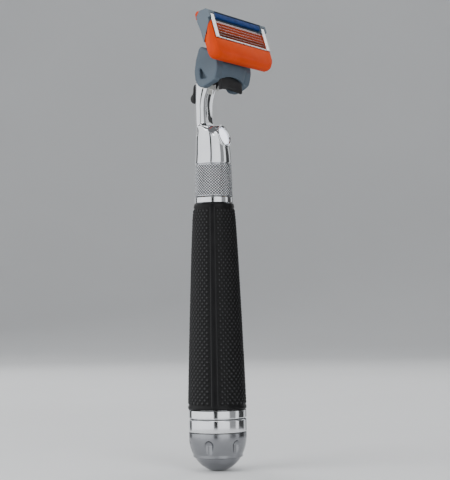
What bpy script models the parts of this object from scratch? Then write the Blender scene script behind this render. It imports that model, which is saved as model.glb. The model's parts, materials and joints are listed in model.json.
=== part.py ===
"""Cartridge razor with a battery handle: twist switch, lamp in the neck and a pivoting five-blade head.

Metres and +Z up. The origin is the middle of the small flat under the end cap, the handle stands along
+Z and the blades face -Y. Every length below is in millimetres. "Forward" means towards -Y.
"""

import math

import bmesh
import bpy
from mathutils import Vector

MM = 0.001
STEPS = 40          # sides of a turned piece
SMALL_STEPS = 20    # sides of a small turned piece
SHARP_DEG = 35      # edges steeper than this stay crisp
GAP = 0.3           # room between two pieces that touch

# Driving dimensions: the handle, from the flat under the cap upwards.
HANDLE_R = 10.3             # cap band and lower collar
CAP_FLAT_R = 2.0
CAP_BAND_Z = 13.8           # dome below, polished band above
CAP_SPLIT_Z = 18.7          # the cap unscrews here
GRIP_Z = (21.9, 95.2)
GRIP_R = ((21.9, 10.2), (32, 9.9), (44, 9.45), (55, 9.05), (66, 8.6), (78, 8.1), (89.5, 7.5), (95.2, 6.95))
TRIM_R, TRIM_TOP_Z = 6.8, 97.4
COLLAR_R = (6.85, 6.6)      # knurled twist collar, bottom and top
COLLAR_Z = (97.7, 109.4)
STEM_R = 5.3                # neck stem that the twist collar turns on
CORE_R = 6.0                # battery tube outside, round the battery
UPPER_TUBE_R = 5.3
TUBE_STEP_Z = 69.0          # where the tube narrows, above the battery

# Driving dimensions: an AAA cell, which sets the bore of the handle.
CELL_R, CELL_LENGTH, CELL_Z = 5.25, 44.5, 22.0

# Driving dimensions: head. Forward distances are measured from the handle's axis.
LAMP_FORWARD, LAMP_Z, LAMP_TILT = 4.9, 118.6, math.radians(17)
ARCH_R, ARCH_CENTRE_Z = 19.0, 120.8     # arched seam between yoke and neck
PIVOT_FORWARD, PIVOT_Z = 10.0, 148.5
HUB_HALF = 12.2                         # the yoke's hub, before it narrows to the rear
FACE_TILT = math.radians(16.3)          # the blade face leans back from upright
PLUNGER_FORWARD = 5.2
CARTRIDGE_HALF = 20.5                   # half the cartridge's width
BLADE_PITCH = 1.15
BLADES = 5

# The pivot seen from the middle of the blade face: depth behind the face, and distance down it.
PIVOT_N, PIVOT_T = -4.09, 6.45


# ---------------------------------------------------------------- helpers

def look(name, colour, roughness, metallic=0.0, alpha=1.0):
    """A plain Principled material."""
    material = bpy.data.materials.new(name)
    material.use_nodes = True
    shader = material.node_tree.nodes["Principled BSDF"]
    shader.inputs["Base Color"].default_value = (*colour, 1)
    shader.inputs["Roughness"].default_value = roughness
    shader.inputs["Metallic"].default_value = metallic
    shader.inputs["Alpha"].default_value = alpha
    return material


def frame(name, place=(0, 0, 0), tilt=0.0):
    """An empty that carries one moving group. It sits on the group's joint axis."""
    empty = bpy.data.objects.new(name, None)
    empty.empty_display_size = 0.01
    empty.location = Vector(place) * MM
    empty.rotation_euler = (tilt, 0, 0)
    bpy.context.scene.collection.objects.link(empty)
    return empty


def link(name, data, parent):
    obj = bpy.data.objects.new(name, data)
    bpy.context.scene.collection.objects.link(obj)
    obj.parent = parent
    return obj


def solid(name, bm, material, parent):
    """Makes an object of a bmesh that is drawn in millimetres in its parent's frame."""
    bmesh.ops.recalc_face_normals(bm, faces=bm.faces)
    bmesh.ops.scale(bm, vec=(MM, MM, MM), verts=bm.verts)
    mesh = bpy.data.meshes.new(name)
    bm.to_mesh(mesh)
    bm.free()
    mesh.shade_smooth()
    mesh.set_sharp_from_angle(angle=math.radians(SHARP_DEG))
    if material:
        mesh.materials.append(material)
    return link(name, mesh, parent)


def combine(obj, bm, label, operation):
    """Adds a Boolean with a hidden tool object, drawn in the same frame as obj."""
    tool = solid(f"{obj.name}_{label}", bm, None, obj.parent)
    tool.hide_render = True
    tool.display_type = "WIRE"
    modifier = obj.modifiers.new(label, "BOOLEAN")
    modifier.operation = operation
    modifier.object = tool


def cut(obj, bm, label):
    combine(obj, bm, label, "DIFFERENCE")


def unite(obj, bm, label):
    combine(obj, bm, label, "UNION")


def turned(profile, steps=STEPS, centre=(0, 0)):
    """(radius, height) points turned about an upright axis.

    A profile that starts and ends at radius 0 closes on the axis, and any other one closes on itself.
    """
    bm = bmesh.new()
    points = [bm.verts.new((radius, 0, height)) for radius, height in profile]
    meets_axis = profile[0][0] == 0 and profile[-1][0] == 0
    following = points[1:] if meets_axis else points[1:] + points[:1]
    edges = [bm.edges.new(pair) for pair in zip(points, following)]
    bmesh.ops.spin(bm, geom=points + edges, axis=(0, 0, 1), cent=(0, 0, 0), angle=math.tau,
                   steps=steps, use_merge=True)
    bmesh.ops.remove_doubles(bm, verts=bm.verts, dist=0.001)
    bmesh.ops.translate(bm, vec=(*centre, 0), verts=bm.verts)
    return bm


def rod(radius, low, high, steps=SMALL_STEPS, centre=(0, 0)):
    return turned([(0, low), (radius, low), (radius, high), (0, high)], steps, centre)


def tube(inner, outer, low, high, steps=STEPS):
    return turned([(inner, low), (outer, low), (outer, high), (inner, high)], steps)


def cross_rod(radius, low, high, y, z, steps=SMALL_STEPS):
    """A round bar along X."""
    outline = [(y + radius * math.cos(a), z + radius * math.sin(a)) for a in angles(steps)]
    return prism(outline, low, high)


def angles(count):
    return [math.tau * step / count for step in range(count)]


def prism(outline, low, high, along="X"):
    """A flat outline extruded along one axis. Its points are the other two coordinates, in XYZ order."""
    order = {"X": (2, 0, 1), "Y": (0, 2, 1), "Z": (0, 1, 2)}[along]
    bm = bmesh.new()

    def place(u, v, w):
        values = (u, v, w)
        return Vector([values[index] for index in order])

    face = bm.faces.new([bm.verts.new(place(u, v, low)) for u, v in outline])
    moved = bmesh.ops.extrude_face_region(bm, geom=[face])["geom"]
    verts = [item for item in moved if isinstance(item, bmesh.types.BMVert)]
    bmesh.ops.translate(bm, vec=place(0, 0, high - low), verts=verts)
    return bm


def block(low, high, bevel=0.0):
    """A box between two corners, with its edges rounded if bevel is given."""
    bm = bmesh.new()
    bmesh.ops.create_cube(bm, size=1)
    low, high = Vector(low), Vector(high)
    bmesh.ops.scale(bm, vec=high - low, verts=bm.verts)
    bmesh.ops.translate(bm, vec=(low + high) / 2, verts=bm.verts)
    if bevel:
        bmesh.ops.bevel(bm, geom=list(bm.edges), offset=bevel, segments=2, profile=0.5, affect="EDGES")
    return bm


def lofted(rings):
    """Rings of equally many points joined one to the next, and closed by a fan at both ends."""
    bm = bmesh.new()
    loops = [[bm.verts.new(point) for point in ring] for ring in rings]
    count = len(rings[0])
    for lower, upper in zip(loops, loops[1:]):
        for index in range(count):
            after = (index + 1) % count
            bm.faces.new((lower[index], lower[after], upper[after], upper[index]))
    for ring, loop in ((rings[0], loops[0]), (rings[-1], loops[-1])):
        middle = sum((Vector(point) for point in ring), Vector()) / count
        centre = bm.verts.new(middle)
        for index in range(count):
            bm.faces.new((loop[index], loop[(index + 1) % count], centre))
    return bm


def coil(name, material, parent, radii, wire, low, high, turns, centre=(0, 0)):
    """A compression spring, as a curve with a round section. radii are its bottom and top radius."""
    points_per_turn = 10
    count = int(turns * points_per_turn)
    curve = bpy.data.curves.new(name, "CURVE")
    curve.dimensions = "3D"
    curve.bevel_depth = wire / 2 * MM
    curve.bevel_resolution = 1
    curve.use_fill_caps = True
    spline = curve.splines.new("POLY")
    spline.points.add(count)
    for index, point in enumerate(spline.points):
        share = index / count
        radius = radii[0] + (radii[1] - radii[0]) * share
        angle = math.tau * turns * share
        place = Vector((centre[0] + radius * math.cos(angle), centre[1] + radius * math.sin(angle),
                        low + (high - low) * share))
        point.co = (*(place * MM), 1)
    curve.materials.append(material)
    return link(name, curve, parent)


def grip_radius(height):
    """Outer radius of the tapered grip, read between its stations."""
    for (low, wide), (high, narrow) in zip(GRIP_R, GRIP_R[1:]):
        if height <= high:
            return wide + (narrow - wide) * (height - low) / (high - low)
    return GRIP_R[-1][1]


def arch_z(x, drop=0.0):
    """Height of the arched seam at x. drop moves it down."""
    return ARCH_CENTRE_Z - drop + math.sqrt(ARCH_R ** 2 - x ** 2)


def power(value, exponent):
    return math.copysign(abs(value) ** exponent, value)


def oval(half_width, forward, half_depth, squareness, height, count=32):
    """A superellipse ring in plan, centred forward of the axis."""
    exponent = 2 / squareness
    return [Vector((half_width * power(math.cos(a), exponent),
                    -forward - half_depth * power(math.sin(a), exponent), height)) for a in angles(count)]


def head_plan(half_width, front, rear, count=56):
    """Plan of the yoke's hub, as (x, forward) points: squarish, and narrower at the rear."""
    squareness, taper = 4.0, 0.5
    middle, half_depth = (front + rear) / 2, (front - rear) / 2
    points = []
    for a in angles(count):
        forward = middle + half_depth * power(math.sin(a), 2 / squareness)
        narrowing = 1 - taper * (front - forward) / (front - rear)
        points.append((half_width * power(math.cos(a), 2 / squareness) * narrowing, forward))
    return points


def on_face(*points):
    """Points given as (depth, down) from the middle of the blade face, in the blade unit's frame."""
    return [(PIVOT_N - depth, PIVOT_T - down) for depth, down in points]


# ---------------------------------------------------------------- looks

def make_looks():
    return {
        "satin chrome": look("satin_chrome", (0.72, 0.73, 0.75), 0.28, 1.0),
        "chrome": look("chrome", (0.82, 0.83, 0.85), 0.08, 1.0),
        "steel": look("steel", (0.62, 0.63, 0.65), 0.25, 1.0),
        "brass": look("brass", (0.75, 0.55, 0.22), 0.3, 1.0),
        "grip rubber": look("grip_rubber", (0.012, 0.012, 0.013), 0.6),
        "orange rubber": look("orange_rubber", (0.70, 0.10, 0.006), 0.5),
        "slate plastic": look("slate_plastic", (0.14, 0.19, 0.24), 0.4),
        "blue strip": look("blue_strip", (0.02, 0.07, 0.26), 0.45),
        "dark plastic": look("dark_plastic", (0.03, 0.03, 0.033), 0.45),
        "white plastic": look("white_plastic", (0.75, 0.75, 0.72), 0.5),
        "board green": look("board_green", (0.02, 0.16, 0.06), 0.5),
        "cell jacket": look("cell_jacket", (0.05, 0.05, 0.06), 0.35),
        "clear lens": look("clear_lens", (0.85, 0.9, 0.95), 0.08),
        "lamp": look("lamp", (0.95, 0.93, 0.75), 0.2),
    }


# ---------------------------------------------------------------- cap

def build_cap(looks, cap, carriage):
    """End cap: dome, polished band, threaded core and seal. The contact plate swivels in it."""
    height = CAP_BAND_Z - 1.3
    wall = 1.4
    start = math.asin(CAP_FLAT_R / HANDLE_R)
    arc = [start + (math.pi / 2 - start) * step / 8 for step in range(9)]
    sink = height * (1 - math.cos(start))
    outside = [(HANDLE_R * math.sin(a), height * (1 - math.cos(a)) - sink) for a in arc]
    inside = [((HANDLE_R - wall) * math.sin(a), wall + (height - wall) * (1 - math.cos(a))) for a in arc[1:]]
    top = CAP_BAND_Z - GAP / 2
    inner_r = HANDLE_R - wall
    profile = [(0, 0)] + outside + [(HANDLE_R, top), (inner_r, top)] + inside[::-1] + [(0, wall)]
    solid("cap_dome", turned(profile), looks["satin chrome"], cap)

    core_r, bore_r, floor = 7.5, 6.3, 12.0
    core_top = 26.0
    seal_low, seal_high, seal_r = 19.3, 20.5, 6.9
    core = [(0, floor), (8.5, floor), (8.5, floor + 1.4), (core_r, floor + 1.4), (core_r, seal_low),
            (seal_r, seal_low), (seal_r, seal_high), (core_r, seal_high), (core_r, core_top),
            (bore_r, core_top), (bore_r, floor + 1.4), (0, floor + 1.4)]
    solid("cap_core", turned(core), looks["white plastic"], cap)
    solid("cap_band", tube(core_r + GAP, HANDLE_R, CAP_BAND_Z + GAP / 2, CAP_SPLIT_Z - GAP), looks["chrome"],
          cap)
    seal = [(seal_r + 0.6 + 0.3 * math.cos(a), (seal_low + seal_high) / 2 + 0.3 * math.sin(a))
            for a in angles(8)]
    solid("cap_seal_ring", turned(seal), looks["grip rubber"], cap)

    plate_low = floor + 1.4 + GAP
    solid("cap_contact_plate", rod(5.6, plate_low, plate_low + 0.6, STEPS), looks["brass"], carriage)
    coil("battery_spring", looks["steel"], carriage, (4.4, 2.6), 0.6, plate_low + 0.6 + GAP + 0.3,
         CELL_Z - GAP - 0.3, 4)


# ---------------------------------------------------------------- handle

def build_handle(looks, handle):
    """Everything in the handle that stays still: collar, tube, grip, cell and electrics."""
    collar_bore, sleeve_r, sleeve_top = 7.8, 8.5, 27.2
    collar = [(collar_bore, CAP_SPLIT_Z), (HANDLE_R, CAP_SPLIT_Z), (HANDLE_R, GRIP_Z[0] - GAP),
              (sleeve_r, GRIP_Z[0] - GAP), (sleeve_r, sleeve_top), (collar_bore, sleeve_top)]
    solid("lower_collar", turned(collar), looks["chrome"], handle)

    cell_bore, upper_bore, tube_low, tube_top = CELL_R + GAP, 4.6, 19.4, 92.6
    flange_low, flange_top = sleeve_top + GAP, sleeve_top + GAP + 1.2
    upper_low = TUBE_STEP_Z - 1.0
    tube_profile = [(cell_bore, tube_low), (CORE_R, tube_low), (CORE_R, flange_low), (sleeve_r, flange_low),
                    (sleeve_r, flange_top), (CORE_R, flange_top), (CORE_R, TUBE_STEP_Z),
                    (UPPER_TUBE_R, TUBE_STEP_Z), (UPPER_TUBE_R, tube_top), (upper_bore, tube_top),
                    (upper_bore, upper_low), (cell_bore, upper_low)]
    solid("battery_tube", turned(tube_profile), looks["dark plastic"], handle)

    outside = [(grip_radius(z), z) for z, _ in GRIP_R]
    grip_profile = outside + [(UPPER_TUBE_R + GAP, GRIP_Z[1]), (UPPER_TUBE_R + GAP, TUBE_STEP_Z + GAP),
                              (CORE_R + GAP, TUBE_STEP_Z + GAP), (CORE_R + GAP, flange_top + GAP),
                              (sleeve_r + GAP, flange_top + GAP), (sleeve_r + GAP, GRIP_Z[0])]
    solid("grip_sleeve", turned(grip_profile), looks["grip rubber"], handle)
    solid("upper_trim_ring", tube(STEM_R + GAP, TRIM_R, GRIP_Z[1] + GAP, TRIM_TOP_Z), looks["chrome"], handle)

    nub_r, nub_height = 1.9, 1.0
    shoulder = CELL_Z + CELL_LENGTH - nub_height
    cell = [(0, CELL_Z), (CELL_R, CELL_Z), (CELL_R, shoulder), (nub_r, shoulder),
            (nub_r, shoulder + nub_height), (0, shoulder + nub_height)]
    solid("battery", turned(cell, 32), looks["cell jacket"], handle)

    contact_z = CELL_Z + CELL_LENGTH + GAP
    solid("positive_contact", rod(4.2, contact_z, contact_z + 0.5, 32), looks["brass"], handle)
    board_z = contact_z + 0.5 + GAP
    solid("circuit_board", block((-3.9, -0.4, board_z), (3.9, 0.4, board_z + 17)), looks["board green"], handle)

    motor_z = 88.0
    solid("motor", rod(3.0, motor_z, motor_z + 10, 32), looks["steel"], handle)
    solid("motor_mount", tube(3.0 + GAP, 4.0, motor_z + 1, motor_z + 8, 32), looks["dark plastic"], handle)


def build_switch(looks, collar):
    """Knurled collar that turns on the neck's stem, and the wiper that it carries."""
    wide_bore, wiper_r, step_z = 6.0, 5.7, 99.6
    profile = [(wide_bore, COLLAR_Z[0]), (COLLAR_R[0], COLLAR_Z[0]), (COLLAR_R[1], COLLAR_Z[1]),
               (STEM_R + GAP, COLLAR_Z[1]), (STEM_R + GAP, step_z), (wide_bore, step_z)]
    solid("knurled_collar", turned(profile), looks["satin chrome"], collar)
    solid("switch_wiper", tube(wiper_r - 0.5, wiper_r, COLLAR_Z[0] + GAP, step_z - GAP - 0.4),
          looks["brass"], collar)


def build_rotor(looks, rotor):
    """Motor shaft with the off-centre weight that makes the handle vibrate."""
    solid("motor_shaft", rod(0.5, 98.3, 103.6, 12), looks["steel"], rotor)
    half_disc = [(2.6 * math.cos(math.pi * step / 10), 2.6 * math.sin(math.pi * step / 10))
                 for step in range(11)]
    weight = solid("eccentric_weight", prism(half_disc, 99.4, 103.0, "Z"), looks["brass"], rotor)
    unite(weight, rod(1.5, 99.4, 103.0, 16), "hub")
    cut(weight, rod(0.5 + GAP, 99, 104, 12), "bore")


# ---------------------------------------------------------------- neck and lamp

def build_neck(looks, handle, lamp):
    """Stem, lamp boss and slim rear arm that flares into the back wall behind the docking head."""
    wall_front = -2.7       # the docking head stands in front of this plane
    rings = [oval(STEM_R, 0, STEM_R, 2, 93.0), oval(STEM_R, 0, STEM_R, 2, 97.5),
             oval(4.9, 0, 4.9, 2, 97.6), oval(4.9, 0, 4.9, 2, 99.4),
             oval(STEM_R, 0, STEM_R, 2, 99.6), oval(STEM_R, 0, STEM_R, 2, COLLAR_Z[1] + GAP)]
    # Half width, centre forward of the axis, half depth, squareness and height.
    rings += [oval(*station) for station in (
        (6.45, 0, 6.45, 2.0, 109.75), (6.25, -0.15, 6.35, 2.0, 113), (5.9, -0.45, 6.1, 2.2, 116),
        (5.4, -0.85, 5.6, 2.3, 119.5), (4.9, -1.3, 4.9, 2.4, 122.6), (4.4, -3.1, 2.7, 2.3, 123.3),
        (4.0, -3.3, 2.15, 2.3, 126), (4.05, -3.3, 2.15, 2.3, 130), (4.8, -3.1, 2.6, 2.3, 133),
        (5.3, -2.9, 2.8, 2.3, 134.2))]
    for half_width, forward, half_depth, rise in ((5.4, -2.9, 2.85, 0), (6.2, -2.4, 3.3, 0.55), (6.6, -2.1, 3.6, 1)):
        ring = oval(half_width, forward, half_depth, 2.5, 0)
        for point in ring:
            point.y = max(point.y, -wall_front)
            low = 134.3
            point.z = low + (arch_z(point.x, 0.4) - low) * rise
        rings.append(ring)
    neck = solid("neck", lofted(rings), looks["chrome"], handle)
    cut(neck, rod(4.3, 92.5, 105.0, 32), "motor_bore")
    cut(neck, block((-1.5, -1, 134.4), (1.5, 9, 141)), "button_slot")

    pocket = stadium(2.5 + GAP, 3.8 + GAP)
    cutter = solid("neck_lamp_pocket", prism(pocket, -4, 4.6, "Y"), None, lamp)
    cutter.hide_render = True
    cutter.display_type = "WIRE"
    modifier = neck.modifiers.new("lamp_pocket", "BOOLEAN")
    modifier.object = cutter

    bezel = solid("lens_bezel", prism(stadium(2.5, 3.8), -0.2, 1.2, "Y"), looks["chrome"], lamp)
    cut(bezel, prism(stadium(1.75, 3.05), -1, 2, "Y"), "window")
    solid("lamp_lens", prism(stadium(1.45, 2.75), -0.1, 0.9, "Y"), looks["clear lens"], lamp)
    solid("lamp_led", prism(stadium(1.1, 1.1), 1.5, 3.2, "Y"), looks["lamp"], lamp)
    solid("lamp_board", prism(stadium(2.2, 3.4), 3.5, 4.2, "Y"), looks["board green"], lamp)


def stadium(half_width, half_height, count=10):
    """An upright outline with two round ends."""
    reach = half_height - half_width
    turns = [math.pi * step / count for step in range(count + 1)]
    top = [(half_width * math.cos(a), reach + half_width * math.sin(a)) for a in turns]
    bottom = [(-half_width * math.cos(a), -reach - half_width * math.sin(a)) for a in turns]
    return top + bottom if reach > 0 else top + bottom[1:-1]


# ---------------------------------------------------------------- docking head

def build_docking_head(looks, handle, plunger, release):
    """Dark block that the cartridge slides over, with its plunger, ejector and release button."""
    rear, back_plane, top = -4.0, -2.4, 143.6

    def ring(half_width, front, height_of):
        return [Vector((x, -max(forward, back_plane), height_of(x))) for x, forward in
                head_plan(half_width, front, rear)]

    rings = [ring(8.9, 8.0, lambda x: arch_z(x, 4.0)), ring(9.3, 8.6, lambda x: arch_z(x, 0.6)),
             ring(8.9, 7.2, lambda x: arch_z(x, 0.5)), ring(8.9, 7.2, lambda x: top)]
    head = solid("docking_head", lofted(rings), looks["dark plastic"], handle)
    cut(head, rod(1.5, 137.0, 145, centre=(0, -PLUNGER_FORWARD)), "plunger_bore")
    slot_front, slot_rear = -0.5, 1.5       # Y of the ejector's slot
    cut(head, block((-4.9, slot_front, 136.2), (4.9, slot_rear, 142.4)), "ejector_slot")
    for side, label in ((-1, "left"), (1, "right")):
        edges = sorted((side * 2.3, side * 4.9))
        cut(head, block((edges[0], slot_front, 142), (edges[1], slot_rear, 145)), f"{label}_prong_slot")
    cut(head, block((-1.5, slot_front, 132), (1.5, 3, 142.4)), "foot_slot")

    ejector = [(-4.6, 136.5), (4.6, 136.5), (4.6, 144.0), (2.6, 144.0), (2.6, 138.1), (-2.6, 138.1),
               (-2.6, 144.0), (-4.6, 144.0)]
    plate = solid("ejector", prism(ejector, -0.2, 1.2, "Y"), looks["white plastic"], release)
    unite(plate, block((-1.1, 0.5, 134.9), (1.1, 2.9, 137.5)), "foot")
    button = solid("release_button", block((-3.0, 6.1, 131.4), (3.0, 8.4, 136.4), 0.8), looks["dark plastic"],
                   release)
    unite(button, block((-1.1, 3.2, 134.9), (1.1, 7.0, 136.1)), "stalk")
    coil("ejector_spring", looks["steel"], handle, (0.6, 0.6), 0.24, 138.6, 141.9, 3.5, (0, 0.5))

    tip = 148.9
    rod_r, foot_r = 0.9, 1.15
    profile = [(0, 142.2), (foot_r, 142.2), (foot_r, 143.2), (rod_r, 143.2), (rod_r, tip - 0.5),
               (rod_r * 0.7, tip - 0.15), (0, tip)]
    local = [(radius, height - tip) for radius, height in profile]
    solid("plunger", turned(local, 16), looks["white plastic"], plunger)
    coil("plunger_spring", looks["steel"], handle, (0.9, 0.9), 0.3, 137.5, 141.7, 4,
         (0, -PLUNGER_FORWARD))


def build_yoke(looks, yoke):
    """Slate connecting member: hollow hub over the docking head, and two cheeks that hold the blade unit."""
    stations = ((141.0, 9.7, -5.2), (143.5, 9.6, -5.0), (146.0, 8.5, -4.0))
    rings = [[Vector((x, -forward, arch_z(x))) for x, forward in head_plan(HUB_HALF, 9.0, -4.9)]]
    rings += [[Vector((x, -forward, height)) for x, forward in head_plan(HUB_HALF, front, rear)]
              for height, front, rear in stations]
    hub = solid("yoke", lofted(rings), looks["slate plastic"], yoke)

    inner, outer, tip_r = 8.4, 11.4, 1.7
    tip = [(PIVOT_FORWARD + tip_r * math.cos(a), PIVOT_Z + tip_r * math.sin(a))
           for a in (math.radians(110 - 28 * step) for step in range(6))]
    cheek = [(-2.2, 138.5), (-1.6, 143.5), (0.6, 149.9), (3.6, 149.7), (8.2, 149.2)] + tip + \
            [(8.9, 143.0), (8.7, 138.4), (6.5, 136.7), (3.5, 136.1), (0.5, 136.6)]
    outline = [(-forward, height) for forward, height in cheek]
    recess = [(-4.6, 139.4), (-0.6, 139.4), (-2.6, 143.4)]
    for side, label in ((-1, "left"), (1, "right")):
        low, high = sorted((side * inner, side * outer))
        unite(hub, prism(outline, low, high), f"{label}_cheek")
        low, high = sorted((side * (inner - 1.0), side * (outer + 1.0)))
        unite(hub, cross_rod(0.8, low, high, -PIVOT_FORWARD, PIVOT_Z, 12), f"{label}_journal")
        low, high = sorted((side * (outer - 0.8), side * (outer + 1.0)))
        cut(hub, prism(recess, low, high), f"{label}_recess")

    cavity = [[Vector((x, -forward, height)) for x, forward in head_plan(HUB_HALF - 1.6, front, rear)]
              for height, front, rear in ((130.0, 7.7, -3.7), (144.4, 8.2, -3.6))]
    cut(hub, lofted(cavity), "cavity")
    cut(hub, block((-3.2, -7.8, 143), (3.2, -1.4, 148)), "plunger_window")


# ---------------------------------------------------------------- blade unit

def build_blade_unit(looks, unit):
    """The cartridge: housing, guard, strip, blades, clips and the trimmer on its back."""
    half = CARTRIDGE_HALF
    outline = on_face((0.5, -5.3), (-0.3, -6.0), (-3.0, -6.1), (-4.7, -4.6), (-4.9, -2.5), (-4.5, 1.0),
                      (-4.4, 9.0), (-1.2, 9.0), (-1.2, 4.45), (-0.4, 4.45), (-0.4, -2.6), (0.5, -2.9))
    housing = solid("cartridge_housing", prism(outline, -half, half), looks["slate plastic"], unit)
    lug = on_face((-10.0, 3.9), (-9.6, 2.6), (-4.3, 1.6), (-4.3, 5.55))
    unite(housing, prism(lug, -2.5, 2.5), "plunger_lug")
    cut(housing, pocket(-16.4, 16.4, (-3.3, 3), (-2.5, 3.9)), "blade_pocket")
    cut(housing, pocket(-16.2, 16.2, (-1.0, 3), (-5.4, -2.9)), "strip_pocket")

    cheek = on_face((0.7, -3.2), (0.7, 12), (-4.7, 12), (-4.7, 5.3))
    cheek_piece = on_face((0.1, -1.7), (0.1, 9.8), (-3.95, 9.8), (-4.1, 6.0))
    guard_outline = on_face((0.1, 4.75), (0.25, 9.6), (-0.05, 10.3), (-2.2, 12.2), (-3.2, 12.2),
                            (-4.0, 11.0), (-4.0, 9.3), (-0.9, 9.3), (-0.9, 4.75))
    guard = solid("elastomer_guard", prism(guard_outline, -half, half), looks["orange rubber"], unit)
    cheek_inner = 19.7
    for side, label in ((-1, "left"), (1, "right")):
        low, high = sorted((side * (cheek_inner - GAP), side * (half + 1)))
        cut(housing, prism(cheek, low, high), f"{label}_end_recess")
        low, high = sorted((side * cheek_inner, side * half))
        unite(guard, prism(cheek_piece, low, high), f"{label}_end")

        low, high = sorted((side * 16.8, side * 19.4))
        cut(housing, pocket(low, high, (-0.4, 3), (-4.45, 4.6)), f"{label}_clip_channel")
        cut(housing, pocket(low, high, (-2.6, 1), (-4.45, -3.3)), f"{label}_upper_leg_slot")
        cut(housing, pocket(low, high, (-2.6, 1), (3.4, 4.6)), f"{label}_lower_leg_slot")
        staple = on_face((0.35, -4.1), (0.35, 4.2), (-2.2, 4.2), (-2.2, 3.75), (-0.1, 3.75), (-0.1, -3.65),
                         (-2.2, -3.65), (-2.2, -4.1))
        low, high = sorted((side * 17.1, side * 19.1))
        solid(f"clip_{label}", prism(staple, low, high), looks["steel"], unit)

        low, high = sorted((side * 8.0, side * 11.8))
        cut(housing, pocket(low, high, (-6, -1.6), (4.2, 9.6)), f"{label}_yoke_slot")
        low, high = sorted((side * 7.0, side * 12.8))
        cut(housing, cross_rod(1.15, low, high, 0, 0, 16), f"{label}_journal_seat")

    solid("lubricating_strip", prism(on_face((0.1, -5.1), (0.35, -4.8), (0.35, -3.5), (0.1, -3.2), (-0.7, -3.2),
                                             (-0.7, -5.1)), -15.9, 15.9), looks["blue strip"], unit)
    for index in range(BLADES):
        edge = -1.65 + BLADE_PITCH * index
        section = on_face((0.05, edge + 0.45), (-0.25, edge - 0.5), (-3.0, edge - 0.5), (-3.0, edge - 0.25),
                          (-0.45, edge - 0.25), (-0.12, edge + 0.5))
        solid(f"blade_{index + 1}", prism(section, -16.1, 16.1), looks["steel"], unit)

    trimmer_guard = on_face((-3.3, -6.5), (-4.6, -6.8), (-5.5, -6.0), (-5.7, -3.9), (-5.2, -3.7),
                            (-5.05, -4.6), (-3.4, -6.25))
    solid("trimmer_guard", prism(trimmer_guard, -19.4, 19.4), looks["orange rubber"], unit)
    trimmer = on_face((-5.25, -3.35), (-6.0, -3.35), (-6.0, -3.05), (-5.25, -3.05))
    solid("trimmer_blade", prism(trimmer, -15, 15), looks["steel"], unit)


def pocket(low, high, depths, downs):
    """A box in the blade unit's frame, between two depths and two distances down the face."""
    outline = on_face((depths[0], downs[0]), (depths[1], downs[0]), (depths[1], downs[1]),
                      (depths[0], downs[1]))
    return prism(outline, low, high)


# ---------------------------------------------------------------- build

def main():
    for obj in list(bpy.data.objects):
        bpy.data.objects.remove(obj)
    bpy.context.scene.unit_settings.system = "METRIC"

    looks = make_looks()
    handle = frame("handle_body")
    cap, carriage = frame("cap_body"), frame("cap_carriage_body")
    collar, rotor = frame("collar_body"), frame("rotor_body")
    lamp = frame("lamp_frame", (0, -LAMP_FORWARD, LAMP_Z), -LAMP_TILT)
    plunger = frame("plunger_body", (0, -PLUNGER_FORWARD, 148.9))
    release, yoke = frame("release_body"), frame("yoke_body")
    unit = frame("blade_unit_body", (0, -PIVOT_FORWARD, PIVOT_Z), -FACE_TILT)

    build_cap(looks, cap, carriage)
    build_handle(looks, handle)
    build_switch(looks, collar)
    build_rotor(looks, rotor)
    bpy.context.view_layer.update()
    build_neck(looks, handle, lamp)
    build_docking_head(looks, handle, plunger, release)
    build_yoke(looks, yoke)
    build_blade_unit(looks, unit)


main()
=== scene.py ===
"""Looks of the cartridge razor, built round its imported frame.

Shapes are drawn in millimetres in the frame's own axes: +Z up the handle and the blades facing -Y.
"Forward" means towards -Y.
"""

import json
import math

import bmesh
import bpy
import numpy as np
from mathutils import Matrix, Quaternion, Vector

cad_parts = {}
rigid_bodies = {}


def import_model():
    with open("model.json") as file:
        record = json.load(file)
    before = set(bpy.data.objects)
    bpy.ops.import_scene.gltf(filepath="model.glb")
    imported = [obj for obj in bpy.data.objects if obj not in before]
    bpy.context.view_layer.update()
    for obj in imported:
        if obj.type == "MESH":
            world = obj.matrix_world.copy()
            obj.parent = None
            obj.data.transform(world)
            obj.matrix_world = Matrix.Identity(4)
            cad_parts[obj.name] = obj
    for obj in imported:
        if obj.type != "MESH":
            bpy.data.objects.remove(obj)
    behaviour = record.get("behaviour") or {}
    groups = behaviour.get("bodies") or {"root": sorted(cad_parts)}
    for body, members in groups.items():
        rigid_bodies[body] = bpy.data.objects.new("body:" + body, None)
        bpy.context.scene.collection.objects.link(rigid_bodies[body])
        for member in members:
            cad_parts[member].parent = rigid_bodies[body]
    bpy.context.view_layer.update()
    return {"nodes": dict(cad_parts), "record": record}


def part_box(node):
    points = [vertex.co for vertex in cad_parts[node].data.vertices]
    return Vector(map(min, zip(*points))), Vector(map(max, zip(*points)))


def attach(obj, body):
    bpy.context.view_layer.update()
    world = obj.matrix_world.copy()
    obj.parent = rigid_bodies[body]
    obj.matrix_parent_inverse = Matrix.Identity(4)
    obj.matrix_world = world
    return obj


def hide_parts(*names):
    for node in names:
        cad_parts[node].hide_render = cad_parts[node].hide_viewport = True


MM = 0.001
TURN_STEPS = 144        # sides of a turned piece
CORNER_STEPS = 4        # points of a softened corner
LOOP_STEPS = 6          # points between two of a smooth loop

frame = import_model()


# ---------------------------------------------------------------- places taken from the frame

def node_box(name):
    low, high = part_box(name)
    return low / MM, high / MM


def heights(name):
    low, high = node_box(name)
    return low.z, high.z


def reach(name):
    """Radius of a turned node."""
    return node_box(name)[1].x


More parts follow.
